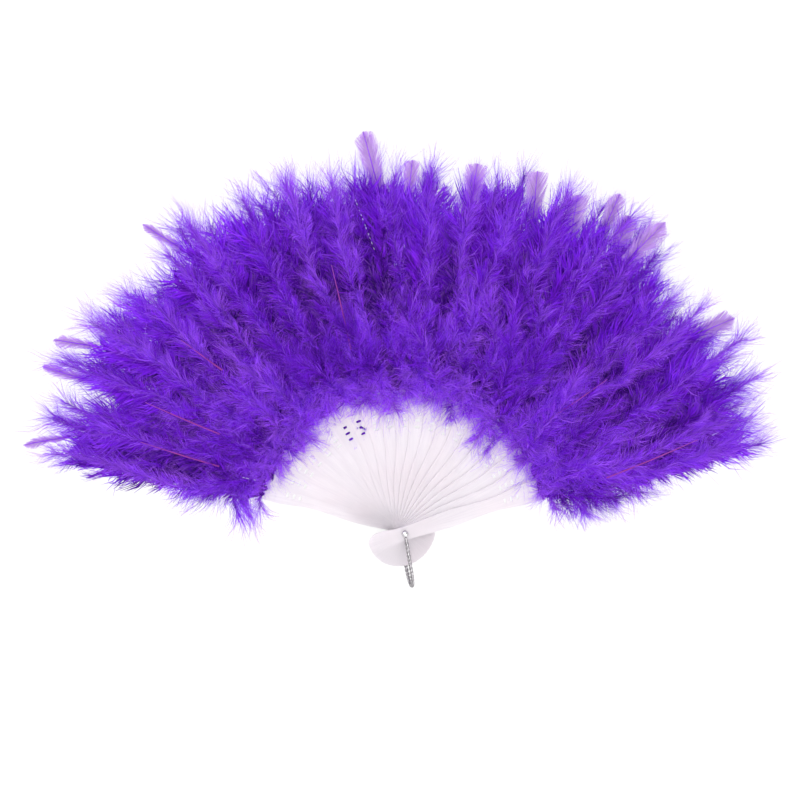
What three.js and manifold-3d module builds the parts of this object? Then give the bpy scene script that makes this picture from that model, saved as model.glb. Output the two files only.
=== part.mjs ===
// Folding feather fan: moulded sticks turn on one rivet, and each stick carries a plume of down.
// Millimetres. The hinge axis is Z through the origin, the open fan spreads in the XY plane
// with its middle along +Y, its front faces +Z, and Z = 0 is the underside of the rivet.
import * as THREE from "three";
import { mergeVertices } from "three/addons/utils/BufferGeometryUtils.js";
import Module from "manifold-3d";

// Spread of the open fan
const stickCount = 21;
const spreadDegrees = 146;
const middleDegrees = 90;

// Layers of the stack, where each stick keeps to its own level
const stickThickness = 0.75;
const guardThickness = 1.0;
const plumeThickness = 0.25;
const glueGap = 0.05;
const layerGap = 0.2;

// Stick outline: distances along the stick from the hinge, and half widths there
const tailLength = 22.8;
const tailEndToBulge = 6;
const tailHalfWidth = 5.4;
const neckHalfWidth = 4;
const bellyAt = 28;
const bellyHalfWidth = 5.4;
const waistAt = 56;
const waistHalfWidth = 4.2;
const shoulderAt = 84;
const shoulderHalfWidth = 6.6;
const stickLength = 150;
const tipHalfWidth = 3;

// Pierced ornament near the outer end of the bare part of each stick
const slotCount = 3;
const slotPitch = 4;
const slotWidth = 1.5;
const slotLength = 3.2;
const slotToStep = 7;

// Plumes: the middle is glued on the thinner blade that starts at the step, the left vane
// lifts over the next plume, and the right vane dips under the one before.
// All lift alike, so that they lie inside one another when the fan is closed.
const stepAt = 79;
const stepClearance = 0.3;
const plumeReach = 230;
const plumeCrown = 8;
const plumeRagged = 5;
const foldHalfWidth = 7;
const tipBarbHalfWidth = 4;
const tipBarbLength = 6;
const tipNotch = 4;
const vaneRootWidth = 3;
const vaneWidth = 15;
const vaneGrowLength = 85;
const vaneTipLength = 50;
const vaneLift = 9;
const vaneDip = 8;
const dipFloorGap = 0.4;
const barbsPerSide = 9;
const barbNotch = 0.28;
const barbSweep = 7;
const barbUndercut = 4;
const barbRootGap = 0.1;

// Rivet
const pinRadius = 1;
const pinClearance = 0.2;
const rearHeadLip = 1.6;
const rearHeadHeight = 1.2;
const rearHeadChamfer = 0.3;
const frontHeadLip = 0.7;
const frontHeadHeight = 1.2;

// Wire bail that hangs on the rivet, one leg in front of the stack and one behind
const wireRadius = 1.2;
const wireFloorGap = 0.2;
const wireHeadGap = 0.4;
const eyeThickness = 1;
const eyeWall = 0.8;
const eyeTongue = 2.5;
const bailTailGap = 1;
const bailLeanDegrees = 9.7;

// Facets
const outlineSteps = 3;
const roundSides = 16;
const wireSides = 10;
const wireSteps = 36;
const domeSteps = 4;

// Levels that follow from the sizes above
const holeRadius = pinRadius + pinClearance;
const rearEyeTop = wireFloorGap + 2 * wireRadius;
const backGuardLevel = rearEyeTop + layerGap;
const firstStickLevel = backGuardLevel + guardThickness + layerGap;
const stickPitch = stickThickness + layerGap;
const frontGuardLevel = firstStickLevel + (stickCount - 2) * stickPitch;
const frontEyeBottom = frontGuardLevel + guardThickness + layerGap;
const frontHeadLevel = frontEyeBottom + eyeThickness + layerGap;
const wireStart = holeRadius + rearHeadLip + wireHeadGap;
const backDip = backGuardLevel + guardThickness - plumeThickness - dipFloorGap;
const dipPerStick = stickPitch - plumeThickness - layerGap;

const wasm = await Module();
wasm.setup();

// A closed geometry as a solid that can be joined and cut
function solidFrom(geometry) {
  const bare = geometry.clone();
  bare.deleteAttribute("normal");
  bare.deleteAttribute("uv");
  const merged = mergeVertices(bare);
  return new wasm.Manifold(
    new wasm.Mesh({
      numProp: 3,
      vertProperties: merged.getAttribute("position").array,
      triVerts: new Uint32Array(merged.index.array),
    }),
  );
}

function geometryFrom(solid) {
  const mesh = solid.getMesh();
  const geometry = new THREE.BufferGeometry();
  geometry.setAttribute("position", new THREE.BufferAttribute(mesh.vertProperties, 3));
  geometry.setIndex(new THREE.BufferAttribute(mesh.triVerts, 1));
  geometry.computeVertexNormals();
  return geometry;
}

function flatPlate(shape, thickness) {
  return new THREE.ExtrudeGeometry(shape, {
    depth: thickness,
    bevelEnabled: false,
    curveSegments: outlineSteps,
  });
}

function roundHole(radius) {
  return new THREE.Path(new THREE.EllipseCurve(0, 0, radius, radius).getPoints(roundSides));
}

// A slot across the stick, with round ends, centred at a distance from the hinge
function crossSlot(distance) {
  const endRadius = slotWidth / 2;
  const endCentre = slotLength / 2 - endRadius;
  const slot = new THREE.Path();
  slot.absarc(distance, endCentre, endRadius, 0, Math.PI);
  slot.absarc(distance, -endCentre, endRadius, Math.PI, 2 * Math.PI);
  return new THREE.Path(slot.getPoints(2));
}

// Wavy outline of a stick, from its round tail past the hinge to its narrow tip, along +X
function stickShape() {
  const side = [
    new THREE.Vector2(stickLength - tipHalfWidth, tipHalfWidth),
    new THREE.Vector2(shoulderAt, shoulderHalfWidth),
    new THREE.Vector2(waistAt, waistHalfWidth),
    new THREE.Vector2(bellyAt, bellyHalfWidth),
    new THREE.Vector2(0, neckHalfWidth),
    new THREE.Vector2(tailEndToBulge - tailLength, tailHalfWidth),
  ];
  const tailEnd = new THREE.Vector2(-tailLength, 0);
  const otherSide = side.map((point) => new THREE.Vector2(point.x, -point.y)).reverse();
  const shape = new THREE.Shape();
  shape.absarc(stickLength - tipHalfWidth, 0, tipHalfWidth, -Math.PI / 2, Math.PI / 2);
  shape.splineThru([...side.slice(1), tailEnd, ...otherSide]);
  shape.holes.push(roundHole(holeRadius));
  for (let i = 0; i < slotCount; i++) {
    shape.holes.push(crossSlot(stepAt - slotToStep - i * slotPitch));
  }
  return shape;
}

// A stick is thick at the hinge and steps down to the blade that its plume is glued on
function stickGeometry(thickness) {
  const bladeThickness = thickness - plumeThickness - glueGap;
  const cutLength = stickLength;
  const cutWidth = 4 * shoulderHalfWidth;
  const cutter = new THREE.BoxGeometry(cutLength, cutWidth, thickness);
  cutter.translate(stepAt + cutLength / 2, 0, bladeThickness + thickness / 2);
  const plate = flatPlate(stickShape(), thickness);
  return geometryFrom(solidFrom(plate).subtract(solidFrom(cutter)));
}

function plumeTip(index) {
  const crown = plumeCrown * Math.sin((Math.PI * index) / (stickCount - 1));
  const ragged = plumeRagged * Math.sin(2.4 * index);
  return plumeReach + crown + ragged;
}

// Width of a side vane of a given length over its barbs, at a distance from its root
function vaneWidthAt(run, length) {
  const grown = Math.sin((Math.min(run / vaneGrowLength, 1) * Math.PI) / 2);
  const intoTip = Math.max(0, run - length + vaneTipLength) / vaneTipLength;
  const rounded = Math.sqrt(1 - intoTip * intoTip);
  return (vaneRootWidth + (vaneWidth - vaneRootWidth) * grown) * rounded;
}

// Edge of a side vane from its root, as offsets from the start of the fold: barbs that sweep
// towards the tip, with a notch behind each. The first barb stands far enough from the root for
// its notch to stay inside the edge that rises to it.
function barbedEdge(length) {
  const room = length - barbSweep;
  const rootRun = barbUndercut / barbNotch - barbSweep + barbRootGap;
  const firstRun = Math.max(room / barbsPerSide / 2, rootRun);
  const pitch = (room - 2 * firstRun) / (barbsPerSide - 1);
  const edge = [];
  for (let i = 0; i < barbsPerSide; i++) {
    const run = firstRun + i * pitch;
    const width = vaneWidthAt(run, length);
    const barbTip = run + barbSweep;
    edge.push(new THREE.Vector2(barbTip, width));
    edge.push(new THREE.Vector2(barbTip - barbUndercut, width * (1 - barbNotch)));
  }
  return edge;
}

function mirrored(points) {
  return points.map((point) => new THREE.Vector2(point.x, -point.y)).reverse();
}

// Outline of a plume, cut by the two folds into its middle and its side vanes
function plumePanels(tip) {
  const foldStart = new THREE.Vector2(stepAt + stepClearance, foldHalfWidth);
  const foldEnd = new THREE.Vector2(tip - tipBarbLength, foldHalfWidth);
  const tipBarb = new THREE.Vector2(tip, tipBarbHalfWidth);
  const half = [foldStart, foldEnd, tipBarb];
  const middle = [...half, new THREE.Vector2(tip - tipNotch, 0), ...mirrored(half)];
  const barbs = barbedEdge(foldEnd.x - foldStart.x).map((point) => point.add(foldStart));
  const vane = [foldStart, ...barbs, foldEnd];
  return { middle, left: vane, right: mirrored(vane) };
}

function panelSolid(points, slope, side) {
  const plate = flatPlate(new THREE.Shape(points), plumeThickness);
  plate.applyMatrix4(new THREE.Matrix4().makeShear(0, 0, 0, slope, 0, 0));
  return solidFrom(plate.translate(0, 0, -slope * side * foldHalfWidth));
}

// The dip of the right vane is what the plumes and the floor below it leave free
function plumeGeometry(index) {
  const dip = Math.min(vaneDip, backDip + index * dipPerStick);
  const panels = plumePanels(plumeTip(index));
  const middle = panelSolid(panels.middle, 0, 0);
  const left = panelSolid(panels.left, vaneLift / vaneWidth, 1);
  const right = panelSolid(panels.right, dip / vaneWidth, -1);
  return geometryFrom(middle.add(left).add(right));
}

function rivetGeometry() {
  const rearRadius = holeRadius + rearHeadLip;
  const frontRadius = holeRadius + frontHeadLip;
  const profile = [
    new THREE.Vector2(0, 0),
    new THREE.Vector2(rearRadius - rearHeadChamfer, 0),
    new THREE.Vector2(rearRadius, rearHeadChamfer),
    new THREE.Vector2(rearRadius, rearHeadHeight),
    new THREE.Vector2(pinRadius, rearHeadHeight),
    new THREE.Vector2(pinRadius, frontHeadLevel),
  ];
  const dome = new THREE.EllipseCurve(0, frontHeadLevel, frontRadius, frontHeadHeight, 0, Math.PI / 2);
  profile.push(...dome.getPoints(domeSteps).slice(0, -1));
  profile.push(new THREE.Vector2(0, frontHeadLevel + frontHeadHeight));
  return new THREE.LatheGeometry(profile, roundSides).rotateX(Math.PI / 2);
}

// Centre line of the bail's wire in the XZ plane: out along the rear leg, round, back in front
class BailLine extends THREE.Curve {
  constructor() {
    super();
    this.rearLevel = wireFloorGap + wireRadius;
    this.frontLevel = frontEyeBottom + wireRadius;
    this.bendRadius = (this.frontLevel - this.rearLevel) / 2;
    this.legEnd = tailLength + bailTailGap;
    this.legLength = this.legEnd - wireStart;
    this.bendLength = Math.PI * this.bendRadius;
  }

  getPoint(share, target = new THREE.Vector3()) {
    const run = share * (2 * this.legLength + this.bendLength);
    if (run < this.legLength) return target.set(wireStart + run, 0, this.rearLevel);
    const past = run - this.legLength;
    if (past > this.bendLength) {
      return target.set(this.legEnd - (past - this.bendLength), 0, this.frontLevel);
    }
    const turn = past / this.bendRadius;
    const height = this.rearLevel + this.bendRadius * (1 - Math.cos(turn));
    return target.set(this.legEnd + this.bendRadius * Math.sin(turn), 0, height);
  }
}

// Flattened end of the bail's wire, with the eye that turns on the rivet
function eyeGeometry(level) {
  const eyeRadius = holeRadius + eyeWall;
  const tongueStart = Math.asin(wireRadius / eyeRadius);
  const shape = new THREE.Shape();
  shape.absarc(0, 0, eyeRadius, tongueStart, 2 * Math.PI - tongueStart);
  shape.lineTo(wireStart + eyeTongue, -wireRadius);
  shape.lineTo(wireStart + eyeTongue, wireRadius);
  shape.holes.push(roundHole(holeRadius));
  return new THREE.ExtrudeGeometry(shape, {
    depth: eyeThickness,
    bevelEnabled: false,
    curveSegments: roundSides / 2,
  }).translate(0, 0, level);
}

function bailGeometry() {
  const section = new THREE.Shape(new THREE.EllipseCurve(0, 0, wireRadius, wireRadius).getPoints(wireSides));
  const wire = new THREE.ExtrudeGeometry(section, {
    steps: wireSteps,
    extrudePath: new BailLine(),
    bevelEnabled: false,
  });
  const rearEye = solidFrom(eyeGeometry(rearEyeTop - eyeThickness));
  const frontEye = solidFrom(eyeGeometry(frontEyeBottom));
  return geometryFrom(solidFrom(wire).add(rearEye).add(frontEye));
}

function whitePlastic() {
  return new THREE.MeshStandardMaterial({ color: 0xf2ecf4, roughness: 0.38, metalness: 0 });
}

function violetDown() {
  return new THREE.MeshStandardMaterial({ color: 0x641fcb, roughness: 0.95, metalness: 0 });
}

function brightSteel() {
  return new THREE.MeshStandardMaterial({ color: 0xc8c8cc, roughness: 0.22, metalness: 1 });
}

function namedMesh(name, geometry, material) {
  const mesh = new THREE.Mesh(geometry, material);
  mesh.name = name;
  return mesh;
}

const fan = new THREE.Group();
const lastStick = stickCount - 1;
const plainStick = stickGeometry(stickThickness);
const guardStick = stickGeometry(guardThickness);

// The sticks climb from the back guard on the left to the front guard on the right
for (let i = 0; i < stickCount; i++) {
  const isGuard = i === 0 || i === lastStick;
  const thickness = isGuard ? guardThickness : stickThickness;
  const number = String(i).padStart(2, "0");
  const place = i === 0 ? "back" : "front";
  const stickName = isGuard ? `${place}_guard` : `stick_${number}`;
  const plumeName = isGuard ? `${place}_plume` : `plume_${number}`;
  const level = i === 0 ? backGuardLevel : firstStickLevel + (i - 1) * stickPitch;
  const turn = middleDegrees + spreadDegrees * (0.5 - i / lastStick);
  const plume = plumeGeometry(i).translate(0, 0, thickness - plumeThickness);
  const arm = new THREE.Group();
  arm.position.z = level;
  arm.rotation.z = THREE.MathUtils.degToRad(turn);
  arm.add(namedMesh(stickName, isGuard ? guardStick : plainStick, whitePlastic()));
  arm.add(namedMesh(plumeName, plume, violetDown()));
  fan.add(arm);
}

fan.add(namedMesh("rivet", rivetGeometry(), brightSteel()));

const bail = namedMesh("bail", bailGeometry(), brightSteel());
bail.rotation.z = THREE.MathUtils.degToRad(middleDegrees + 180 + bailLeanDegrees);
fan.add(bail);

export default fan;
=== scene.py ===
import math
import random

import bpy
from mathutils import Matrix, Vector


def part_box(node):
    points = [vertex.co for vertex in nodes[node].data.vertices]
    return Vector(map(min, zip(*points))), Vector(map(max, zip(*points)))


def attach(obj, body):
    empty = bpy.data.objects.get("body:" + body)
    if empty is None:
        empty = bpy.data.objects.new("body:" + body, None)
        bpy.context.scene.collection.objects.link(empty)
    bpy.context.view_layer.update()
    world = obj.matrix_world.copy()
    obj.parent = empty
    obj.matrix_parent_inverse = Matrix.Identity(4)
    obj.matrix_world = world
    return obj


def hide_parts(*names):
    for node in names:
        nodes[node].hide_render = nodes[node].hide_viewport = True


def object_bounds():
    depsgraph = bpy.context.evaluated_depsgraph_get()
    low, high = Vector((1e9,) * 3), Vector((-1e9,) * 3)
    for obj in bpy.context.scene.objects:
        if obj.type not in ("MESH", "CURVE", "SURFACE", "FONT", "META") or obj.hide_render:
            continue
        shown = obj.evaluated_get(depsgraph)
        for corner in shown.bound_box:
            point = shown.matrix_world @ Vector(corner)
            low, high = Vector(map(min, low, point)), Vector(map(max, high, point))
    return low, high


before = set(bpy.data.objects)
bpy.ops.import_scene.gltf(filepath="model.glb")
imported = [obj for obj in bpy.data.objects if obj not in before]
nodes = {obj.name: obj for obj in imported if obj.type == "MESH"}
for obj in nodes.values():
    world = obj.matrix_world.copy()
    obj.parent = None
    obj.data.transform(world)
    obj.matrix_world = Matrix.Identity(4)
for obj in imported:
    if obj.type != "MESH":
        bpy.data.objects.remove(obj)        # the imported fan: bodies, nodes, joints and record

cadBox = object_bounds()
mm = 0.001


# small helpers for node trees
def put(tree, kind, inputs=None, **settings):
    node = tree.nodes.new(kind)
    for name, value in settings.items():
        setattr(node, name, value)
    for key, value in (inputs or {}).items():
        if isinstance(value, bpy.types.NodeSocket):
            tree.links.new(value, node.inputs[key])
        else:
            node.inputs[key].default_value = value
    return node


def calc(tree, operation, *values):
    return put(tree, "ShaderNodeMath", dict(enumerate(values)), operation=operation).outputs[0]


def vec(tree, operation, *values, scale=None):
    inputs = dict(enumerate(values))
    if scale is not None:
        inputs["Scale"] = scale
    return put(tree, "ShaderNodeVectorMath", inputs, operation=operation).outputs[0]


def addSocket(tree, name, kind, out=False):
    way = "OUTPUT" if out else "INPUT"
    tree.interface.new_socket(name=name, in_out=way, socket_type=f"NodeSocket{kind}")


def newMaterial(name):
    material = bpy.data.materials.new(name)
    material.use_nodes = True
    material.node_tree.nodes.clear()
    return material, material.node_tree


def ramp(tree, factor, stops):
    node = put(tree, "ShaderNodeValToRGB", {"Fac": factor})
    band = node.color_ramp
    stops = list(stops)
    while len(band.elements) < len(stops):
        band.elements.new(1.0)
    for element, (place, colour) in zip(band.elements, stops):
        element.position = place
        element.color = (*colour, 1)
    return node.outputs["Color"]


def blend(tree, factor, first, second):
    return put(tree, "ShaderNodeMix", {"Factor": factor, "A": first, "B": second}).outputs[0]


def mapped(tree, value, source, result, kind="LINEAR"):
    return put(tree, "ShaderNodeMapRange", {
        "Value": value, "From Min": source[0], "From Max": source[1],
        "To Min": result[0], "To Max": result[1]}, interpolation_type=kind).outputs["Result"]


def mixColour(tree, factor, first, second):
    return put(tree, "ShaderNodeMix", {
        "Factor": factor, 6: first, 7: second}, data_type="RGBA").outputs[2]


def seenDirectly(tree):
    path = put(tree, "ShaderNodeLightPath").outputs
    straight = calc(tree, "MAXIMUM", path["Is Camera Ray"], path["Is Transmission Ray"])
    return calc(tree, "MAXIMUM", straight, path["Is Glossy Ray"])


# a shell that lets part of the light through
def thinSurface(tree, shell, colour, share):
    through = put(tree, "ShaderNodeBsdfTranslucent", {"Color": colour})
    mixed = put(tree, "ShaderNodeMixShader", {0: share, 1: shell.outputs[0], 2: through.outputs[0]})
    put(tree, "ShaderNodeOutputMaterial", {"Surface": mixed.outputs[0]})


# camera, floor and light
studio = {
    "leanLeft": 0.158,        # the lens stands to the left of the hinge axis and above it
    "leanUp": 0.18,
    "roll": 0.6,              # degrees
    "distance": 1.5,
    "pictureWidth": 0.4813,   # metres across the picture at the hinge
    "picturePixels": 800,
    "hingePixel": (405.5, 534.5),
    "floorDrop": 0.0105,      # the down holds the rivet this far off the floor
    "floorSize": 6.0,
    "worldLight": 0.44,
    "lamps": [                # name, watts, size, place
        ("softKey", 18.2, 0.6, (-0.28, 0.3, 1.65)),
        ("softSide", 6.0, 0.8, (-0.85, 0.8, 1.1)),
        ("softFill", 7.0, 0.8, (0.5, -0.8, 1.1)),
    ],
    "lampAim": (0, 0.12, 0),
    "floorTone": 0.82,        # as the fan sees it
    "floorGlow": 0.8,         # as the camera sees it
    "floorShade": 0.24,
}


def buildStudio(s):
    scene = bpy.context.scene
    scene.view_settings.view_transform = "Standard"
    back = Vector((-s["leanLeft"], s["leanUp"], 1)).normalized()
    level = Vector((0, 1, 0)).cross(back).normalized()
    roll = Matrix.Rotation(math.radians(s["roll"]), 3, back)
    right = roll @ level
    up = roll @ back.cross(level)
    perPixel = s["pictureWidth"] / s["picturePixels"]
    half = s["picturePixels"] / 2
    hinge = Vector((0, 0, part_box("rivet")[1].z))
    hingeX, hingeY = s["hingePixel"]
    target = hinge + right * (half - hingeX) * perPixel + up * (hingeY - half) * perPixel
    lens = bpy.data.cameras.new("fanCamera")
    lens.sensor_width = 36
    lens.lens = lens.sensor_width * s["distance"] / s["pictureWidth"]
    lens.clip_start = 0.01
    camera = bpy.data.objects.new("fanCamera", lens)
    camera.matrix_world = Matrix.Translation(target + back * s["distance"]) @ Matrix(
        (right, up, back)).transposed().to_4x4()
    scene.collection.objects.link(camera)
    scene.camera = camera

    world = bpy.data.worlds.new("paleRoom")
    scene.world = world
    world.use_nodes = True
    tree = world.node_tree
    tree.nodes.clear()
    strength = blend(tree, seenDirectly(tree), s["worldLight"], 1.0)
    glow = put(tree, "ShaderNodeBackground", {"Color": (1, 1, 1, 1), "Strength": strength})
    put(tree, "ShaderNodeOutputWorld", {"Surface": glow.outputs[0]})

    for name, power, size, place in s["lamps"]:
        light = bpy.data.lights.new(name, "AREA")
        light.energy = power
        light.size = size
        lamp = bpy.data.objects.new(name, light)
        lamp.location = place
        aim = Vector(s["lampAim"]) - lamp.location
        lamp.rotation_euler = aim.to_track_quat("-Z", "Y").to_euler()
        scene.collection.objects.link(lamp)

    mesh = bpy.data.meshes.new("paleFloor")
    reach = s["floorSize"] / 2
    corners = [(-reach, -reach), (reach, -reach), (reach, reach), (-reach, reach)]
    mesh.from_pydata([(x, y, -s["floorDrop"]) for x, y in corners], [], [(0, 1, 2, 3)])
    floor = bpy.data.objects.new("paleFloor", mesh)
    scene.collection.objects.link(floor)
    material, tree = newMaterial("paleFloor")
    matte = put(tree, "ShaderNodeBsdfDiffuse", {"Color": (*[s["floorTone"]] * 3, 1)})
    shade = put(tree, "ShaderNodeBsdfDiffuse", {"Color": (*[s["floorShade"]] * 3, 1)})
    light = put(tree, "ShaderNodeEmission", {"Color": (1, 1, 1, 1), "Strength": s["floorGlow"]})
    lit = put(tree, "ShaderNodeAddShader", {0: shade.outputs[0], 1: light.outputs[0]})
    both = put(tree, "ShaderNodeMixShader", {
        0: seenDirectly(tree), 1: matte.outputs[0], 2: lit.outputs[0]})
    put(tree, "ShaderNodeOutputMaterial", {"Surface": both.outputs[0]})
    mesh.materials.append(material)
    print("studio: camera at", [round(v, 3) for v in camera.matrix_world.translation])


# milky moulded plastic of the sticks, with fine lines that run out from the hinge
plastic = {
    "dark": (0.81, 0.775, 0.815),
    "pale": (0.88, 0.845, 0.875),
    "blush": (0.88, 0.81, 0.845),
    "roughness": 0.42,
    "through": 0.48,
    "lines": 63.03,           # lines to a radian
    "lineRun": 40.0,          # changes of a line to a metre along the stick
    "lineTones": (0.28, 0.62),
    "lineDepth": 0.015 * mm,
    "lineStrength": 0.6,
    "cloudScale": 38.0,
    "cloudTones": (0.42, 0.7),
    "blushShare": 0.35,
}


def hingeLines(s):
    tree = bpy.data.node_groups.new("hingeLines", "ShaderNodeTree")
    addSocket(tree, "Lines", "Float", out=True)
    place = put(tree, "ShaderNodeTexCoord").outputs["Object"]
    split = put(tree, "ShaderNodeSeparateXYZ", {0: place})
    turn = calc(tree, "ARCTAN2", split.outputs[1], split.outputs[0])
    turn = calc(tree, "MULTIPLY", turn, s["lines"])
    reach = put(tree, "ShaderNodeVectorMath", {0: place}, operation="LENGTH").outputs["Value"]
    reach = calc(tree, "MULTIPLY", reach, s["lineRun"])
    spot = put(tree, "ShaderNodeCombineXYZ", {0: turn, 1: reach}).outputs[0]
    fine = put(tree, "ShaderNodeTexNoise", {"Vector": spot, "Scale": 1.0, "Detail": 2.0, "Roughness": 0.6})
    put(tree, "NodeGroupOutput", {"Lines": fine.outputs["Fac"]})
    return tree


def stickPlastic(s):
    material, tree = newMaterial("milkyPlastic")
    lines = put(tree, "ShaderNodeGroup", node_tree=hingeLines(s)).outputs["Lines"]
    place = put(tree, "ShaderNodeTexCoord").outputs["Object"]
    cloud = put(tree, "ShaderNodeTexNoise", {
        "Vector": place, "Scale": s["cloudScale"], "Detail": 2.0}).outputs["Fac"]
    streaks = ramp(tree, lines, zip(s["lineTones"], (s["dark"], s["pale"])))
    warm = mapped(tree, cloud, s["cloudTones"], (0.0, s["blushShare"]))
    colour = mixColour(tree, warm, streaks, (*s["blush"], 1))
    bump = put(tree, "ShaderNodeBump", {
        "Height": lines, "Distance": s["lineDepth"], "Strength": s["lineStrength"]})
    shell = put(tree, "ShaderNodeBsdfPrincipled", {
        "Base Color": colour,
        "Roughness": s["roughness"],
        "IOR": 1.49,
        "Normal": bump.outputs[0],
    })
    thinSurface(tree, shell, colour, s["through"])
    return material


# plated metal with fine specks
bailMetal = {"colour": (0.45, 0.43, 0.45), "roughness": 0.34, "dents": 0.05 * mm}
rivetMetal = {"colour": (0.80, 0.79, 0.81), "roughness": 0.14, "dents": 0.01 * mm}
speckle = {
    "scale": 1400.0,
    "tones": (0.3, 0.62),
    "dark": 0.45,             # share of the colour that is left in a speck
    "rough": (0.7, 1.5),      # times the metal's own roughness
    "strength": 0.5,
}


def brightMetal(name, s):
    material, tree = newMaterial(name)
    place = put(tree, "ShaderNodeTexCoord").outputs["Object"]
    specks = put(tree, "ShaderNodeTexNoise", {
        "Vector": place, "Scale": speckle["scale"], "Detail": 2.0}).outputs["Fac"]
    dark = [part * speckle["dark"] for part in s["colour"]]
    tint = ramp(tree, specks, zip(speckle["tones"], (dark, s["colour"])))
    rough = mapped(tree, specks, (0.0, 1.0), [s["roughness"] * part for part in speckle["rough"]])
    bump = put(tree, "ShaderNodeBump", {
        "Height": specks, "Distance": s["dents"], "Strength": speckle["strength"]})
    shell = put(tree, "ShaderNodeBsdfPrincipled", {
        "Base Color": tint, "Metallic": 1.0, "Roughness": rough, "Normal": bump.outputs[0]})
    put(tree, "ShaderNodeOutputMaterial", {"Surface": shell.outputs[0]})
    return material


# plain shapes: tubes along a line, and turned profiles
def addTube(verts, faces, path, section, sides, closed=False):
    wide, high = section
    first = len(verts)
    count = len(path)
    guide = Vector((0, 0, 1))
    for i, place in enumerate(path):
        after = path[(i + 1) % count] if closed or i + 1 < count else place
        before = path[i - 1] if closed or i else place
        course = (after - before).normalized()
        guide = (guide - course * guide.dot(course)).normalized()
        across = course.cross(guide)
        for j in range(sides):
            turn = 2 * math.pi * j / sides
            verts.append(place + across * wide * math.cos(turn) + guide * high * math.sin(turn))
    for i in range(count if closed else count - 1):
        here, there = first + i * sides, first + (i + 1) % count * sides
        for j in range(sides):
            k = (j + 1) % sides
            faces.append((here + j, here + k, there + k, there + j))
    if not closed:
        faces.append(tuple(first + j for j in reversed(range(sides))))
        faces.append(tuple(first + (count - 1) * sides + j for j in range(sides)))


def turned(profile, sides):
    verts = [Vector((0, 0, profile[0][1]))]
    for radius, high in profile[1:-1]:
        for j in range(sides):
            turn = 2 * math.pi * j / sides
            verts.append(Vector((radius * math.cos(turn), radius * math.sin(turn), high)))
    verts.append(Vector((0, 0, profile[-1][1])))
    faces = []
    rings = len(profile) - 2
    for j in range(sides):
        k = (j + 1) % sides
        faces.append((0, 1 + k, 1 + j))
        for i in range(rings - 1):
            here, there = 1 + i * sides, 1 + (i + 1) * sides
            faces.append((here + j, here + k, there + k, there + j))
        last = 1 + (rings - 1) * sides
        faces.append((last + j, last + k, len(verts) - 1))
    return verts, faces


def newPiece(name, verts, faces, material, body, replaced):
    mesh = bpy.data.meshes.new(name)
    mesh.from_pydata(verts, [], faces)
    mesh.materials.append(material)
    mesh.shade_smooth()
    piece = bpy.data.objects.new(name, mesh)
    bpy.context.scene.collection.objects.link(piece)
    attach(piece, body)
    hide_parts(replaced)
    return piece


# wire bail: two strands twisted together, with an eye at each end
bailSizes = {
    "wire": 1.2 * mm,         # half the width over the twist
    "strand": 0.66 * mm,
    "pitch": 5.2 * mm,        # one full turn of the twist
    "eyeMiddle": 1.6 * mm,
    "eyeWall": 0.4 * mm,
    "eyeHalf": 0.5 * mm,
    "start": 2.3 * mm,
    "settle": 3.0 * mm,       # over this length the strands part from the eye
    "step": 0.45 * mm,
    "nudge": 0.00001,         # metres, to find the wire's direction
    "sides": 10,
    "eyeSteps": 40,
}


def bailLine(run, leg, bend, low, high):
    if run < leg:
        return run, low
    if run > leg + math.pi * bend:
        return leg - (run - leg - math.pi * bend), high
    turn = (run - leg) / bend
    return leg + bend * math.sin(turn), low + bend * (1 - math.cos(turn))


def buildBail(s, material):
    low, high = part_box("bail")
    tip = max((v.co for v in nodes["bail"].data.vertices), key=lambda p: p.x * p.x + p.y * p.y)
    course = Vector((tip.x, tip.y, 0)).normalized()
    beside = Vector((-course.y, course.x, 0))
    rear, front = low.z + s["wire"], high.z - s["wire"]
    bend = (front - rear) / 2
    leg = tip.to_2d().length - s["wire"] - bend - s["start"]
    whole = 2 * leg + math.pi * bend
    count = int(whole / s["step"])
    verts, faces = [], []
    for strand in (0, math.pi):
        path = []
        for i in range(count + 1):
            run = whole * i / count
            out, level = bailLine(run, leg, bend, rear, front)
            ahead = bailLine(min(run + s["nudge"], whole), leg, bend, rear, front)
            behind = bailLine(max(run - s["nudge"], 0), leg, bend, rear, front)
            along = Vector((ahead[0] - behind[0], ahead[1] - behind[1])).normalized()
            apart = min(1, run / s["settle"], (whole - run) / s["settle"]) * (s["wire"] - s["strand"])
            turn = strand + 2 * math.pi * run / s["pitch"]
            off = Vector((-along.y, along.x)) * math.sin(turn) * apart
            path.append(course * (s["start"] + out + off.x) + beside * math.cos(turn) * apart
                        + Vector((0, 0, level + off.y)))
        addTube(verts, faces, path, (s["strand"], s["strand"]), s["sides"])
    for level in (low.z + 2 * s["wire"] - s["eyeHalf"], high.z - 2 * s["wire"] + s["eyeHalf"]):
        ring = [Vector((math.cos(a), math.sin(a), 0)) * s["eyeMiddle"] + Vector((0, 0, level))
                for a in (2 * math.pi * i / s["eyeSteps"] for i in range(s["eyeSteps"]))]
        addTube(verts, faces, ring, (s["eyeWall"], s["eyeHalf"]), s["sides"], closed=True)
    return newPiece("twistedBail", verts, faces, material, "bail_loop", "bail")


# rivet: turned pin with a flat rear head and a domed front head
rivetSizes = {
    "pin": 1.0 * mm,
    "rear": 2.8 * mm,
    "front": 1.9 * mm,
    "headHeight": 1.2 * mm,
    "chamfer": 0.3 * mm,
    "domeSteps": 9,
    "sides": 40,
    "sharp": 40,              # degrees
}


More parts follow.
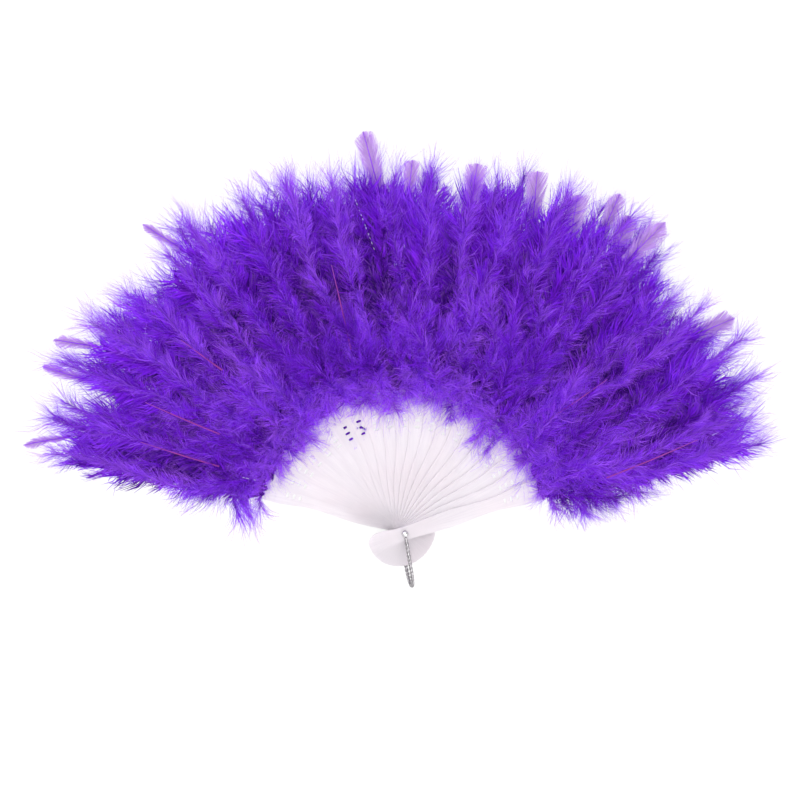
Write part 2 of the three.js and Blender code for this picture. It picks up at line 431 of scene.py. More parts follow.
def buildRivet(s, material):
    low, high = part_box("rivet")
    top = high.z - s["headHeight"]
    profile = [(0, low.z), (s["rear"] - s["chamfer"], low.z), (s["rear"], low.z + s["chamfer"]),
               (s["rear"], low.z + s["headHeight"]), (s["pin"], low.z + s["headHeight"]), (s["pin"], top)]
    for i in range(s["domeSteps"]):
        turn = math.pi / 2 * i / s["domeSteps"]
        profile.append((s["front"] * math.cos(turn), top + s["headHeight"] * math.sin(turn)))
    profile.append((0, high.z))
    verts, faces = turned(profile, s["sides"])
    piece = newPiece("domedRivet", verts, faces, material, "back_arm", "rivet")
    piece.data.set_sharp_from_angle(angle=math.radians(s["sharp"]))
    return piece


def dressNode(name, material):
    mesh = nodes[name].data
    mesh.materials.clear()
    mesh.materials.append(material)


# violet marabou down
down = {
    "columns": 32,            # tones across the colour map, dark to pale, then vanes, painted tinsel glints and quills
    "spacing": 0.54 * mm,     # between barbs along a shaft
    "rows": 6,                # barbs at each spot: low, high and stray, left and right
    "clump": 5,               # neighbouring spots whose barbs cling together
    "gather": 0.5,
    "tuftSize": 13 * mm,
    "tuftReach": 5.0 * mm,
    "frizzSize": 4 * mm,
    "frizzReach": 2.4 * mm,
    "seed": 11,
    "below": 10.0 * mm,       # how far the down may reach past the solids
    "above": 9.5 * mm,
    "beside": 22.5 * mm,      # at the right end
    "through": 0.3,
    "roughness": 0.75,
    "shine": 0.12,
    "rootRun": (0.0, 0.6),    # painted shade at the root of a barb, by its run
    "rootShadeTone": (0.6, 1.04),
    "flatTones": (0.87, 0.90),
    "flatRootShade": 0.92,         # vanes and shafts get no painted root shade
    "tipRun": (0.55, 1.0),    # the pale tip of a barb, by its run: partly its own paler colour, partly painted light through the thin ends
    "tipShare": 0.3,
    "tipTintAndLight": (0.49, 0.17, 0.85),
    "tones": [
        (0.0, (0.036, 0.001, 0.160)),
        (0.35, (0.170, 0.007, 0.660)),
        (0.62, (0.300, 0.028, 0.940)),
        (0.80, (0.430, 0.110, 0.990)),
        (0.86, (0.560, 0.270, 0.930)),
        (0.91, (0.560, 0.355, 0.765)),
        (0.935, (0.560, 0.355, 0.745)),
        # a pale column for the tinsel dashes, painted glints
        (0.94, (0.800, 0.740, 0.920)),
        (0.965, (0.800, 0.740, 0.920)),
        (0.97, (0.430, 0.060, 0.420)),
        (1.0, (0.520, 0.090, 0.450)),
    ],
}


def downMaterial(s):
    material, tree = newMaterial("violetDown")
    spot = put(tree, "ShaderNodeUVMap", uv_map="OFBake").outputs[0]
    split = put(tree, "ShaderNodeSeparateXYZ", {0: spot})
    tone = ramp(tree, split.outputs[0], s["tones"])
    # painted shade: each barb darker towards its root, where the down crowds
    root = mapped(tree, split.outputs[1], s["rootRun"], s["rootShadeTone"], "SMOOTHSTEP")
    flat = mapped(tree, split.outputs[0], s["flatTones"], (0.0, s["flatRootShade"]))
    root = calc(tree, "MAXIMUM", root, flat)
    # pale tip: partly the barb's own colour, partly painted light through its thin end
    tip = mapped(tree, split.outputs[1], s["tipRun"], (0.0, s["tipShare"]), "SMOOTHSTEP")
    rootShaded = vec(tree, "SCALE", tone, scale=root)
    colour = mixColour(tree, tip, rootShaded, (*s["tipTintAndLight"], 1))
    shell = put(tree, "ShaderNodeBsdfPrincipled", {
        "Base Color": colour,
        "Roughness": s["roughness"],
        "Specular IOR Level": s["shine"],
    })
    thinSurface(tree, shell, colour, s["through"])
    return material


def named(tree, name, kind="FLOAT"):
    return put(tree, "GeometryNodeInputNamedAttribute", {"Name": name}, data_type=kind).outputs["Attribute"]


def store(tree, geometry, name, value, domain="POINT", kind="FLOAT"):
    return put(tree, "GeometryNodeStoreNamedAttribute", {
        "Geometry": geometry, "Name": name, "Value": value}, domain=domain, data_type=kind).outputs[0]


def rand(tree, key, seed, step, label):
    low, high = chance[label]
    inputs = {2: low, 3: high, "Seed": calc(tree, "ADD", seed, step)}
    if key is not None:
        inputs["ID"] = key
    return put(tree, "FunctionNodeRandomValue", inputs, data_type="FLOAT").outputs[1]


def randVec(tree, key, seed, step):
    inputs = {0: (-1, -1, -1), 1: (1, 1, 1), "Seed": calc(tree, "ADD", seed, step)}
    if key is not None:
        inputs["ID"] = key
    return put(tree, "FunctionNodeRandomValue", inputs, data_type="FLOAT_VECTOR").outputs[0]


# random ranges of the barbs: shared by a clump, of one barb, and of a stray
chance = {
    "clumpTurn": (-1.0, 1.0),
    "barbTurn": (-0.18, 0.18),
    "strayLift": (-0.3, 1.5),
    "clumpWander": (-0.42, 0.42),
    "barbWander": (-0.3, 0.3),
    "strayWander": (-0.3, 0.45),
    "clumpLength": (-0.4, 0.28),
    "barbLength": (-0.16, 0.06),
    "strayLength": (-0.2, 0.32),
    "barbWidth": (0.7, 1.3),
    "clumpTone": (-0.20, 0.20),
    "barbTone": (-0.07, 0.07),
    "strayDrop": (0.0, 1.0),
}
sprayInputs = {
    "Geometry": "Geometry",
    "Spacing": "Float",
    "Rows": "Int",
    "Clump": "Int",
    "Gather": "Float",
    "Tuft Size": "Float",
    "Tuft Reach": "Float",
    "Frizz Size": "Float",
    "Frizz Reach": "Float",
    "Lowest": "Float",
    "Highest": "Float",
    "Rightmost": "Float",
    "Seed": "Int",
    "Material": "Material",
}


def sprayTree(columns):
    tree = bpy.data.node_groups.new("featherSpray", "GeometryNodeTree")
    tree.is_modifier = True
    for name, kind in sprayInputs.items():
        addSocket(tree, name, kind)
    addSocket(tree, "Geometry", "Geometry", out=True)
    given = put(tree, "NodeGroupInput").outputs
    seed = given["Seed"]

    # one barb: a narrow strip along X that tapers to its tip
    strip = put(tree, "GeometryNodeMeshGrid", {
        "Size X": 1.0, "Size Y": 1.0, "Vertices X": 4, "Vertices Y": 2})
    place = put(tree, "GeometryNodeInputPosition").outputs[0]
    split = put(tree, "ShaderNodeSeparateXYZ", {0: place})
    along = calc(tree, "ADD", split.outputs[0], 0.5)
    across = calc(tree, "ADD", split.outputs[1], 0.5)
    barb = store(tree, strip.outputs["Mesh"], "along", along)
    barb = store(tree, barb, "across", across)
    narrow = calc(tree, "SUBTRACT", 1.0, calc(tree, "MULTIPLY", 0.88, calc(tree, "POWER", along, 1.6)))
    narrow = calc(tree, "MULTIPLY", split.outputs[1], narrow)
    shaped = put(tree, "ShaderNodeCombineXYZ", {0: along, 1: narrow}).outputs[0]
    barb = put(tree, "GeometryNodeSetPosition", {"Geometry": barb, "Position": shaped}).outputs[0]

    # barbs set along every shaft, low and high on both sides of it, in clumps that share a direction;
    # the last two rows are single strays
    shafts = put(tree, "GeometryNodeMeshToCurve", {"Mesh": given["Geometry"]}).outputs[0]
    spots = put(tree, "GeometryNodeCurveToPoints", {
        "Curve": shafts, "Length": given["Spacing"]}, mode="LENGTH")
    order = calc(tree, "DIVIDE", put(tree, "GeometryNodeInputIndex").outputs[0], given["Clump"])
    ordered = store(tree, spots.outputs["Points"], "order", order)
    pairs = put(tree, "GeometryNodeDuplicateElements", {
        "Geometry": ordered, "Amount": given["Rows"]}, domain="POINT")
    row = pairs.outputs["Duplicate Index"]
    side = calc(tree, "MULTIPLY_ADD", calc(tree, "MODULO", row, 2.0), 2.0, -1.0)
    high = calc(tree, "FLOOR", calc(tree, "DIVIDE", row, 2.0))
    stray = calc(tree, "GREATER_THAN", row, 3.5)
    group = calc(tree, "FLOOR", named(tree, "order"))
    within = calc(tree, "SUBTRACT", 0.5, calc(tree, "FRACT", named(tree, "order")))
    key = calc(tree, "MULTIPLY_ADD", group, 16.0, row)
    soft = named(tree, "softness")
    tangent = spots.outputs["Tangent"]
    facing = named(tree, "face", "FLOAT_VECTOR")
    beside = vec(tree, "NORMALIZE", vec(tree, "CROSS_PRODUCT", facing, tangent))
    upward = vec(tree, "CROSS_PRODUCT", tangent, beside)
    turn = calc(tree, "MULTIPLY", rand(tree, key, seed, 1, "clumpTurn"), named(tree, "fluff"))
    turn = calc(tree, "ADD", turn, calc(tree, "MULTIPLY", rand(tree, None, seed, 2, "barbTurn"), soft))
    lift = calc(tree, "ADD", turn, calc(tree, "MULTIPLY_ADD", high, named(tree, "rise"), -0.1))
    lift = blend(tree, stray, lift, rand(tree, None, seed, 12, "strayLift"))
    sideways = vec(tree, "SCALE", beside, scale=calc(tree, "MULTIPLY", side, calc(tree, "COSINE", lift)))
    outward = vec(tree, "ADD", sideways, vec(tree, "SCALE", upward, scale=calc(tree, "SINE", lift)))
    wander = calc(
        tree, "ADD", rand(tree, key, seed, 3, "clumpWander"), rand(tree, None, seed, 4, "barbWander"))
    wander = blend(tree, stray, wander, rand(tree, None, seed, 13, "strayWander"))
    splay = calc(tree, "ADD", named(tree, "splay"), calc(tree, "MULTIPLY", wander, soft))
    aim = vec(
        tree, "ADD",
        vec(tree, "SCALE", tangent, scale=calc(tree, "COSINE", splay)),
        vec(tree, "SCALE", outward, scale=calc(tree, "SINE", splay)))
    uneven = calc(
        tree, "ADD", rand(tree, key, seed, 5, "clumpLength"), rand(tree, None, seed, 6, "barbLength"))
    uneven = blend(tree, stray, uneven, rand(tree, None, seed, 14, "strayLength"))
    length = calc(tree, "MULTIPLY_ADD", uneven, soft, 1.0)
    length = calc(tree, "MULTIPLY", named(tree, "barbLength"), length)
    width = calc(tree, "MULTIPLY", named(tree, "barbWidth"), rand(tree, None, seed, 7, "barbWidth"))
    width = calc(tree, "MULTIPLY", width, blend(tree, stray, 1.0, 0.6))
    faceUp = vec(tree, "ADD", upward, vec(tree, "SCALE", randVec(tree, None, seed, 8), scale=0.8))
    rotation = put(tree, "FunctionNodeAxesToRotation", {"Primary Axis": aim, "Secondary Axis": faceUp},
                   primary_axis="X", secondary_axis="Z").outputs[0]
    size = put(tree, "ShaderNodeCombineXYZ", {0: length, 1: width, 2: 1.0}).outputs[0]
    dropped = calc(tree, "MULTIPLY", stray, rand(tree, None, seed, 15, "strayDrop"))
    shown = calc(tree, "LESS_THAN", dropped, named(tree, "strays"))
    barbs = put(tree, "GeometryNodeInstanceOnPoints", {
        "Points": pairs.outputs["Geometry"], "Selection": shown, "Instance": barb,
        "Rotation": rotation, "Scale": size}).outputs[0]
    bend = vec(
        tree, "ADD",
        vec(tree, "SCALE", tangent, scale=named(tree, "sweep")),
        vec(tree, "SCALE", upward, scale=named(tree, "droop")))
    veer = vec(tree, "SCALE", randVec(tree, key, seed, 9), scale=calc(tree, "MULTIPLY", soft, 0.25))
    bend = vec(tree, "SCALE", vec(tree, "ADD", bend, veer), scale=length)
    base = calc(tree, "MULTIPLY", calc(tree, "MULTIPLY", given["Clump"], given["Spacing"]), within)
    cling = calc(tree, "MULTIPLY", given["Gather"], soft)
    cling = calc(tree, "MULTIPLY", cling, calc(tree, "SUBTRACT", 1.0, stray))
    bend = vec(tree, "ADD", bend, vec(tree, "SCALE", tangent, scale=calc(tree, "MULTIPLY", base, cling)))
    barbs = store(tree, barbs, "bend", bend, "INSTANCE", "FLOAT_VECTOR")
    # tone: random per clump and barb, plus painted light: barbs that point up off the sheet are set paler;
    # strays are a little paler too
    shade = calc(
        tree, "ADD", rand(tree, key, seed, 10, "clumpTone"), rand(tree, None, seed, 11, "barbTone"))
    facingLight = put(tree, "ShaderNodeVectorMath", {0: aim, 1: upward}, operation="DOT_PRODUCT").outputs["Value"]
    shade = calc(tree, "MULTIPLY_ADD", facingLight, 0.36, calc(tree, "MULTIPLY_ADD", stray, 0.12, shade))
    tone = calc(tree, "MULTIPLY_ADD", shade, soft, named(tree, "tone"))
    limit = blend(tree, calc(tree, "GREATER_THAN", soft, 0.5), 0.93, 0.80)
    tone = put(tree, "ShaderNodeClamp", {"Value": tone, "Min": 0.0, "Max": limit}).outputs[0]
    barbs = store(tree, barbs, "tone", tone, "INSTANCE")
    barbs = put(tree, "GeometryNodeRealizeInstances", {"Geometry": barbs}).outputs[0]

    # each barb bends, then soft noise draws neighbours together into tufts
    run = named(tree, "along")
    curve = vec(tree, "SCALE", named(tree, "bend", "FLOAT_VECTOR"), scale=calc(tree, "MULTIPLY", run, run))
    barbs = put(tree, "GeometryNodeSetPosition", {"Geometry": barbs, "Offset": curve}).outputs[0]
    for span, reach, power in (("Tuft Size", "Tuft Reach", 1.4), ("Frizz Size", "Frizz Reach", 1.0)):
        place = put(tree, "GeometryNodeInputPosition").outputs[0]
        scale = calc(tree, "DIVIDE", 1.0, given[span])
        noise = put(tree, "ShaderNodeTexNoise", {"Vector": place, "W": seed, "Scale": scale, "Detail": 1.0},
                    noise_dimensions="4D")
        drift = vec(tree, "SUBTRACT", noise.outputs["Color"], (0.5, 0.5, 0.5))
        amount = calc(tree, "MULTIPLY", given[reach], soft)
        amount = calc(tree, "MULTIPLY", calc(tree, "POWER", run, power), amount)
        drift = vec(tree, "SCALE", drift, scale=calc(tree, "MULTIPLY", amount, 4.0))
        barbs = put(tree, "GeometryNodeSetPosition", {"Geometry": barbs, "Offset": drift}).outputs[0]

    # the shafts themselves, as thin tapered stems
    ring = put(tree, "GeometryNodeCurvePrimitiveCircle", {"Resolution": 4, "Radius": 1.0}).outputs["Curve"]
    factor = put(tree, "GeometryNodeSplineParameter").outputs["Factor"]
    ring = store(tree, ring, "across", factor)
    rails = store(tree, shafts, "along", factor)
    rails = store(tree, rails, "tone", named(tree, "shaftTone"))
    stems = put(tree, "GeometryNodeCurveToMesh", {
        "Curve": rails, "Profile Curve": ring, "Scale": named(tree, "shaftRadius"),
        "Fill Caps": True}).outputs[0]
    whole = put(tree, "GeometryNodeJoinGeometry")
    tree.links.new(stems, whole.inputs[0])
    tree.links.new(barbs, whole.inputs[0])
    whole = whole.outputs[0]

    # kept between the table and the highest reach of the down, and eased off at the right end
    place = put(tree, "GeometryNodeInputPosition").outputs[0]
    split = put(tree, "ShaderNodeSeparateXYZ", {0: place})
    height = put(tree, "ShaderNodeClamp", {
        "Value": split.outputs[2], "Min": given["Lowest"], "Max": given["Highest"]}).outputs[0]
    wide = calc(tree, "SMOOTH_MIN", split.outputs[0], given["Rightmost"], 0.02)
    kept = put(tree, "ShaderNodeCombineXYZ", {0: wide, 1: split.outputs[1], 2: height}).outputs[0]
    whole = put(tree, "GeometryNodeSetPosition", {"Geometry": whole, "Position": kept}).outputs[0]

    # colour map: a column for each tone, and the run of the barb up it
    column = calc(tree, "FLOOR", calc(tree, "MULTIPLY", named(tree, "tone"), float(columns)))
    inside = calc(tree, "MULTIPLY_ADD", named(tree, "across"), 0.7, 0.15)
    mapX = calc(tree, "DIVIDE", calc(tree, "ADD", column, inside), float(columns))
    mapY = calc(tree, "MULTIPLY_ADD", named(tree, "along"), 0.96, 0.02)
    spot = put(tree, "ShaderNodeCombineXYZ", {0: mapX, 1: mapY}).outputs[0]
    whole = store(tree, whole, "OFBake", spot, "CORNER", "FLOAT2")
    whole = put(tree, "GeometryNodeSetShadeSmooth", {"Geometry": whole}).outputs[0]
    whole = put(tree, "GeometryNodeRealizeInstances", {"Geometry": whole}).outputs[0]
    whole = put(tree, "GeometryNodeSetMaterial", {
        "Geometry": whole, "Material": given["Material"]}).outputs[0]
    put(tree, "NodeGroupOutput", {"Geometry": whole})
    return tree


noStrays = 0.0001            # as a value of strays: only the strays are dropped
noBarbs = -1                 # as a value of strays: a bare shaft
# the kinds of feather in a plume; lanes are degrees off the plume's own line, lengths in mm
# tones: ridge feathers are set paler as a painted highlight on the crests, flank and under feathers darker as
# painted shade in the valleys between them
featherKinds = {
    "ridge": {"front": (5.2,), "back": (-5.2,), "jitter": 1.8, "start": (85, 90), "end": (204, 219),
              "bend": 8, "arch": (3, 6), "barb": (7.5, 17), "splay": (46, 34), "tone": (0.48, 0.74),
              "fluff": 0.9, "rise": 1.2, "shaft": 0.12, "strays": 0.85, "shift": 0.14, "width": 0.29},
    "flank": {"front": (1.0,), "back": (-1.0,), "jitter": 2.2, "start": (88, 104), "end": (200, 217),
              "bend": 9, "arch": (0, 1), "barb": (8, 17), "splay": (36, 34), "tone": (0.0, 0.60),
              "fluff": 0.6, "rise": 0.7, "shaft": 0.12, "strays": 0.4, "width": 0.32},
    "under": {"front": (-6.2, -3, 0, 3, 6.2), "back": (), "jitter": 0.6, "start": (85, 88),
              "end": (189, 202), "bend": 3, "arch": (0, 0.5), "barb": (12, 16), "splay": (44, 26),
              "tone": (0.0, 0.52), "fluff": 0.15, "rise": 0.15, "shaft": 0.15, "strays": noStrays,
              "width": 1.2},
    "puff": {"front": (-12, 4, 14, 6, 22), "back": (-12, 8, -24), "jitter": 10, "start": (104, 192),
             "run": (12, 22), "beside": 0.09, "bend": 40, "arch": (3, 6), "barb": (6, 9), "splay": (48, 28),
             "tone": (0.41, 0.64), "fluff": 1.0, "rise": 1.3, "shaft": 0.08, "strays": 0.7, "shift": 0.24,
             "width": 0.28},
    "tuft": {"front": (-14, -5, 5, 14), "back": (-12, 12), "jitter": 12, "start": (88, 112),
             "end": (112, 146), "bend": 45, "arch": (3, 9), "barb": (11, 15), "splay": (50, 24),
             "tone": (0.30, 0.44), "fluff": 0.9, "rise": 1.1, "shaft": 0.1, "strays": 0.6, "shift": 0.34,
             "width": 0.28},
    "inner": {"front": (-95, -60, -30, 0, 30, 60, 95), "back": (-50, 0, 50), "jitter": 35, "start": (86, 102),
              "inward": (5, 13), "bend": 60, "arch": (2, 7), "barb": (10, 15), "splay": (60, 24),
              "tone": (0.64, 0.80), "fluff": 1.0, "rise": 0.9, "shaft": 0.08, "strays": 0.8, "shift": 0.22,
              "width": 0.25},
    "slotTuft": {"front": (), "back": (-3, 3), "jitter": 1, "start": (88, 90), "inward": (24.7, 25.5),
                 "bend": 2, "arch": (0, 0.1), "barb": (3, 3), "splay": (40, 40), "tone": (0.4, 0.4),
                 "fluff": 0.2, "rise": 0.1, "shaft": 0.3, "strays": noStrays, "width": 1.2},
}
slotTufts = (6, 7)           # the plumes whose down shows behind the pierced slots
lastPlume = 20
innerEdges = (89, 86, 81, 79, 78, 83, 82, 80, 80, 79, 79, 82, 79, 79, 79, 75, 74, 79, 78, 84, 89)
usualEdge = 80               # mm, the edge that the start of an inward feather is meant for
plumeLengths = (
    224, 209, 232, 228, 213, 235, 227, 229, 223, 224, 221, 214, 230, 217, 230, 240, 230, 219, 231, 240, 236)
usualLength = 220.5          # mm, the length that the end of a feather is meant for
underPush = 8                # mm, the most that the under layer follows a longer plume
fringeTufts = [              # below the two guards: plume, start, run and lane
    (0, 88, 7, 96), (0, 95, 7, 84), (0, 104, 18, 132), (0, 107, 16, 126), (0, 112, 9, 70), (0, 120, 9, 60),
    (20, 90, 12, -66), (20, 95, 17, -70), (20, 100, 20, -70), (20, 105, 21, -68), (20, 110, 20, -66),
    (20, 116, 20, -64), (20, 123, 20, -61), (20, 131, 20, -57), (20, 140, 19, -53), (20, 150, 18, -47),
    (20, 160, 16, -41), (20, 171, 15, -35),
]
fringe = {**featherKinds["tuft"], "jitter": 4, "bend": 16, "arch": (-1, 2), "barb": (10, 16),
          "splay": (32, 15), "tone": (0.42, 0.72), "fluff": 0.6, "rise": 0.5, "strays": 1.0, "width": 0.3}
topFeather = {**featherKinds["ridge"], "jitter": 0.5, "end": (203, 206)}     # right half of the front guard
topLanes = (-3.5, -7)
vaneTips = [                 # plume, polar degrees and radius of the tip, heading, length, half width, point
    (0, 166.0, 233, 186, 40, 3.2, 1.5),
    (1, 154.4, 238, 160, 44, 4.0, 1.5),
    (2, 150.2, 239, 168, 40, 4.0, 1.4),
    (5, 129.7, 243, 146, 46, 4.0, 1.3),
    (9, 96.2, 242, 107, 56, 8.0, 0.3),
    (10, 89.2, 224, 86, 46, 5.5, 0.2),
    (12, 79.6, 226, 84, 46, 8.0, 0.1),
    (13, 70.3, 231, 88, 50, 8.5, 0.15),
    (14, 63.3, 228, 84, 48, 10.0, 0.0),
    (14, 57.6, 241, 70, 50, 6.5, 0.5),
    (15, 55.0, 233, 74, 50, 10.0, 0.3),
    (16, 50.6, 243, 47, 56, 9.0, 0.7),
    (18, 32.7, 238, 24, 52, 8.0, 0.5),
]
bareQuills = [               # plume, polar degrees and radius of the low end, then of the high end
    (8, 106.5, 117, 105.5, 169),
    (4, 137.4, 149, 138.3, 179),
    (2, 150.9, 127, 152.2, 175),
    (1, 159.3, 119, 159.9, 168),
    (20, 15.5, 126, 17.5, 186),
    (17, 39.3, 107, 37.7, 153),
]
# pale dashes painted on as the glints of tinsel threads
tinselGlintLines = [              # plume, polar degrees and radius of the low end, then of the high end
    (9, 96.5, 172, 99.0, 206),
    (13, 62.5, 152, 61.5, 160),
    (3, 158.2, 97, 158.8, 108),
]
shaft = {                    # course of a feather's shaft
    "points": 15,
    "root": 85,              # mm from the hinge
    "spread": 4,             # mm off the plume's own line at the root, for a far lane
    "ease": 6,               # degrees of lane over which that grows
    "off": 1.2,              # mm off the sheet
    "lean": 0.3,             # of barbs past the folds
    "waver": 0.13,           # radians
    "waves": 7,
}
vane = {                     # flat feather tip, lengths in mm
    "splay": 26,             # degrees
    "shaft": 0.7,            # share of its length that shows
    "low": 2,
    "climb": 5,
    "rootWidth": 0.5,        # share of its half width
    "tipEnd": 0.5,
    "barbWidth": 0.45,
    "tone": 0.925,
    "rise": 0.12,
    "softness": 0.07,
    "pointSoftness": 0.12,
    "shaftTone": 0.7,
    "shaftRadius": 0.42,
}
quill = {"height": 10, "bow": 1.5, "tone": 0.985, "radius": 0.5, "taper": 0.3}     # mm
# the painted glint dashes of a tinsel thread
tinselGlints = {"height": 10, "pitch": 3, "gap": 0.5, "dash": (0.2, 0.6), "tone": 0.95, "radius": 0.16}     # mm


def between(pair, share):
    return pair[0] + (pair[1] - pair[0]) * share


def shaftPoint(place, side, **changes):
    point = {
        "place": place, "face": side, "lean": 0, "barbLength": 0, "barbWidth": 0.40 * mm, "splay": 0,
        "tone": 0.5, "fluff": 0, "rise": 0, "sweep": 0.2, "droop": -0.12, "softness": 1, "strays": 0.5,
        "shaftTone": 0.4, "shaftRadius": 0.1 * mm}
    point.update(changes)
    return point


def sheetHeight(plume, over):
    past = over - math.copysign(min(abs(over), plume["fold"]), over)
    return past * (plume["lift"] if over > 0 else plume["dip"])


def featherPoints(plume, kind, rng, lane, side, pushed):
    start = rng.uniform(*kind["start"]) + (pushed if "inward" in kind else 0)
    heading = math.radians(lane + rng.uniform(-1, 1) * kind["jitter"])
    bend = math.radians(rng.uniform(-1, 1) * kind["bend"])
    along = start
    over = shaft["spread"] * math.tanh(lane / shaft["ease"])
    over += side * kind.get("beside", 0) * (start - shaft["root"])
    if "inward" in kind:
        heading += math.pi
        length = rng.uniform(*kind["inward"])
    elif "run" in kind:
        length = rng.uniform(*kind["run"])
    else:
        length = rng.uniform(*kind["end"]) + pushed - start
    arch = rng.uniform(*kind["arch"]) * side
    wave = rng.uniform(0, 6.28)
    shift = rng.uniform(-1, 1) * kind.get("shift", 0.1)
    step = length / (shaft["points"] - 1)
    points = []
    for i in range(shaft["points"]):
        share = i / (shaft["points"] - 1)
        grown = min(1.0, 0.4 + share / 0.2 * 0.6)
        high = sheetHeight(plume, over) + side * shaft["off"]
        high += arch * math.sin(math.pi * min(1, share * 0.7 + 0.2)) ** 0.7
        points.append(shaftPoint(
            (along, over, high), side, lean=shaft["lean"] if abs(over) > plume["fold"] else 0,
            barbLength=between(kind["barb"], share ** 2.5) * grown * mm,
            barbWidth=kind["width"] * (1 - 0.45 * share ** 2) * mm,
            splay=math.radians(between(kind["splay"], share ** 2)),
            tone=between(kind["tone"], share ** 2) + shift,
            fluff=kind["fluff"],
            rise=kind["rise"],
            strays=kind["strays"],
            shaftRadius=kind["shaft"] * (1 - 0.85 * share) * mm))
        angle = heading + bend * share + shaft["waver"] * math.sin(wave + shaft["waves"] * share)
        along += step * math.cos(angle)
        over += step * math.sin(angle)
    return points


def polar(plume, degrees, radius):
    place = Vector((math.cos(math.radians(degrees)), math.sin(math.radians(degrees)), 0)) * radius
    return Vector((place.dot(plume["axis"]), place.dot(plume["side"])))


def vanePoints(plume, tip, heading, length, halfWidth, point):
    course = polar(plume, heading, 1)
    splay = math.radians(vane["splay"])
    points = []
    for i in range(shaft["points"]):
        share = i / (shaft["points"] - 1)
        left = vane["shaft"] * length * (1 - share)
        place = tip - course * left
        high = sheetHeight(plume, place.y) - vane["low"] + vane["climb"] * share
        wide = halfWidth * (vane["rootWidth"] + (1 - vane["rootWidth"]) * share ** 0.7)
        toTip = (left + vane["tipEnd"]) / (math.cos(splay) + point * math.sin(splay))
        points.append(shaftPoint(
            (place.x, place.y, high), 1,
            barbLength=min(wide / math.sin(splay), toTip) * mm,
            barbWidth=vane["barbWidth"] * mm,
            splay=splay,
            tone=vane["tone"],
            rise=vane["rise"],
            sweep=0.0,
            droop=0.0,
            softness=vane["softness"] + vane["pointSoftness"] * point,
            strays=noStrays,
            shaftTone=vane["shaftTone"],
            shaftRadius=vane["shaftRadius"] * (1 - 0.5 * share) * mm))
    return points


def quillPoints(plume, low, high):
    base = sheetHeight(plume, low.y) + quill["height"]
    return [
        shaftPoint((*low.lerp(high, share), base + quill["bow"] * math.sin(math.pi * share)), 1,
                   strays=noBarbs, shaftTone=quill["tone"],
                   shaftRadius=(quill["radius"] - quill["taper"] * share) * mm)
        for share in (0, 0.25, 0.5, 0.75, 1)]


def tinselGlintPoints(plume, rng, low, high):
    count = int((high - low).length / tinselGlints["pitch"])
    dashes = []
    for i in range(count):
        gap = rng.uniform(0, tinselGlints["gap"])
        ends = [low.lerp(high, (i + gap + part) / count) for part in (0, rng.uniform(*tinselGlints["dash"]))]
        dashes.append([
            shaftPoint((*end, sheetHeight(plume, end.y) + tinselGlints["height"]), 1, strays=noBarbs,
                       shaftTone=tinselGlints["tone"], shaftRadius=tinselGlints["radius"] * mm)
            for end in ends])
    return dashes


def plumeFrame(name):
    points = [v.co for v in nodes[name].data.vertices]
    middle = sum(points, Vector()) / len(points)
    axis = Vector((middle.x, middle.y, 0)).normalized()
    side = Vector((-axis.y, axis.x, 0))
    root = min(points, key=lambda p: p.dot(axis))
    left = max(points, key=lambda p: p.dot(side))
    right = min(points, key=lambda p: p.dot(side))
    fold = abs(root.dot(side))
    return {
        "axis": axis,
        "side": side,
        "level": root.z,
        "fold": fold / mm,
        "lift": (left.z - root.z) / (left.dot(side) - fold),
        "dip": (right.z - root.z) / (right.dot(side) + fold),
    }


floatKeys = ("barbLength", "barbWidth", "splay", "tone", "fluff", "rise", "sweep", "droop", "softness",
             "strays", "shaftTone", "shaftRadius")


def shaftMesh(name, plume, feathers):
    places, edges, faces = [], [], []
    columns = {key: [] for key in floatKeys}
    for points in feathers:
        first = len(places)
        edges += [(first + i, first + i + 1) for i in range(len(points) - 1)]
        for point in points:
            along, over, high = (v * mm for v in point["place"])
            level = Vector((0, 0, plume["level"] + high))
            places.append(plume["axis"] * along + plume["side"] * over + level)
            faces += list((Vector((0, 0, 1)) - plume["side"] * point["lean"]) * point["face"])
            for key in floatKeys:
                columns[key].append(point[key])
    mesh = bpy.data.meshes.new(name)
    mesh.from_pydata(places, edges, [])
    for key, values in columns.items():
        mesh.attributes.new(key, "FLOAT", "POINT").data.foreach_set("value", values)
    mesh.attributes.new("face", "FLOAT_VECTOR", "POINT").data.foreach_set("vector", faces)
    return mesh


def setInput(modifier, name, value):
    for item in modifier.node_group.interface.items_tree:
        if item.item_type == "SOCKET" and item.in_out == "INPUT" and item.name == name:
            modifier[item.identifier] = value


def plumeFeathers(number, plume, rng):
    feathers = []
    for label, kind in featherKinds.items():
        if label == "slotTuft" and number not in slotTufts:
            continue
        pushed = plumeLengths[number] - usualLength
        if "inward" in kind:
            pushed = innerEdges[number] - usualEdge
        elif label == "under":
            pushed = min(pushed, underPush)
        for side, lanes in ((1, kind["front"]), (-1, kind["back"])):
            feathers += [featherPoints(plume, kind, rng, lane, side, pushed) for lane in lanes]
    for owner, start, run, lane in fringeTufts:
        if owner == number:
            sized = {**fringe, "start": (start, start), "run": (run, run)}
            feathers.append(featherPoints(plume, sized, rng, lane, 1, 0))
    if number == lastPlume:
        feathers += [featherPoints(plume, topFeather, rng, lane, 1, 0) for lane in topLanes]
    for owner, degrees, radius, *shape in vaneTips:
        if owner == number:
            feathers.append(vanePoints(plume, polar(plume, degrees, radius), *shape))
    for owner, *ends in bareQuills:
        if owner == number:
            feathers.append(quillPoints(plume, polar(plume, *ends[:2]), polar(plume, *ends[2:])))
    for owner, *ends in tinselGlintLines:
        if owner == number:
            feathers += tinselGlintPoints(plume, rng, polar(plume, *ends[:2]), polar(plume, *ends[2:]))
    return feathers


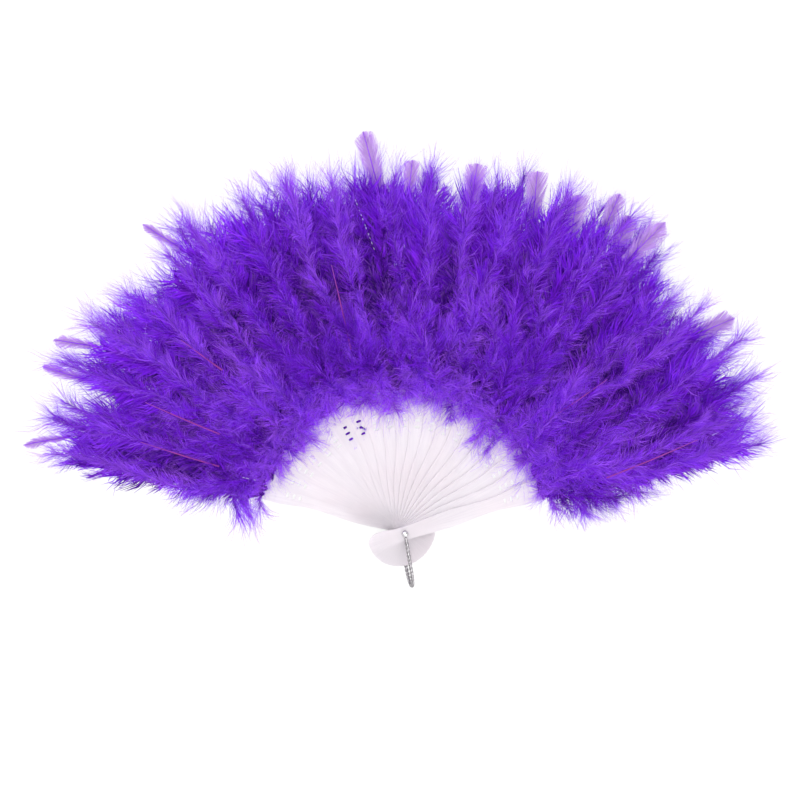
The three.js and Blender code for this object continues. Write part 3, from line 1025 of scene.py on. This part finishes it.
def buildPlume(number, cadName, body, tree, material, s):
    rng = random.Random(s["seed"] * 100 + number)
    plume = plumeFrame(cadName)
    feathers = plumeFeathers(number, plume, rng)
    draft = bpy.data.objects.new("shafts", shaftMesh("shafts", plume, feathers))
    bpy.context.scene.collection.objects.link(draft)
    modifier = draft.modifiers.new("spray", "NODES")
    modifier.node_group = tree
    values = {
        "Spacing": s["spacing"],
        "Rows": s["rows"],
        "Clump": s["clump"],
        "Gather": s["gather"],
        "Tuft Size": s["tuftSize"],
        "Tuft Reach": s["tuftReach"],
        "Frizz Size": s["frizzSize"],
        "Frizz Reach": s["frizzReach"],
        "Lowest": cadBox[0].z - s["below"],
        "Highest": cadBox[1].z + s["above"],
        "Rightmost": cadBox[1].x + s["beside"],
        "Seed": s["seed"] + 17 * number,
        "Material": material,
    }
    for key, value in values.items():
        setInput(modifier, key, value)
    ready = draft.evaluated_get(bpy.context.evaluated_depsgraph_get())
    mesh = bpy.data.meshes.new_from_object(ready)
    mesh.name = f"plumeDown_{number:02d}"
    for key in (*floatKeys, "face", "bend", "along", "across", "order"):
        layer = mesh.attributes.get(key)
        if layer:
            mesh.attributes.remove(layer)
    bpy.data.objects.remove(draft)
    piece = bpy.data.objects.new(mesh.name, mesh)
    bpy.context.scene.collection.objects.link(piece)
    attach(piece, body)
    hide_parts(cadName)
    return len(mesh.polygons)


buildStudio(studio)

white = stickPlastic(plastic)
for name in nodes:
    if "guard" in name or "stick" in name:
        dressNode(name, white)
print("sticks: dressed")
buildBail(bailSizes, brightMetal("bailWire", bailMetal))
buildRivet(rivetSizes, brightMetal("rivetSteel", rivetMetal))
print("bail and rivet: built")

violet = downMaterial(down)
spray = sprayTree(down["columns"])
plumes = [("back_plume", "back_arm")]
plumes += [(f"plume_{i:02d}", f"arm_{i:02d}") for i in range(1, lastPlume)]
plumes += [("front_plume", "front_arm")]
total = sum(buildPlume(i, name, body, spray, violet, down) for i, (name, body) in enumerate(plumes))
print("plumes:", len(plumes), "with", total, "faces")
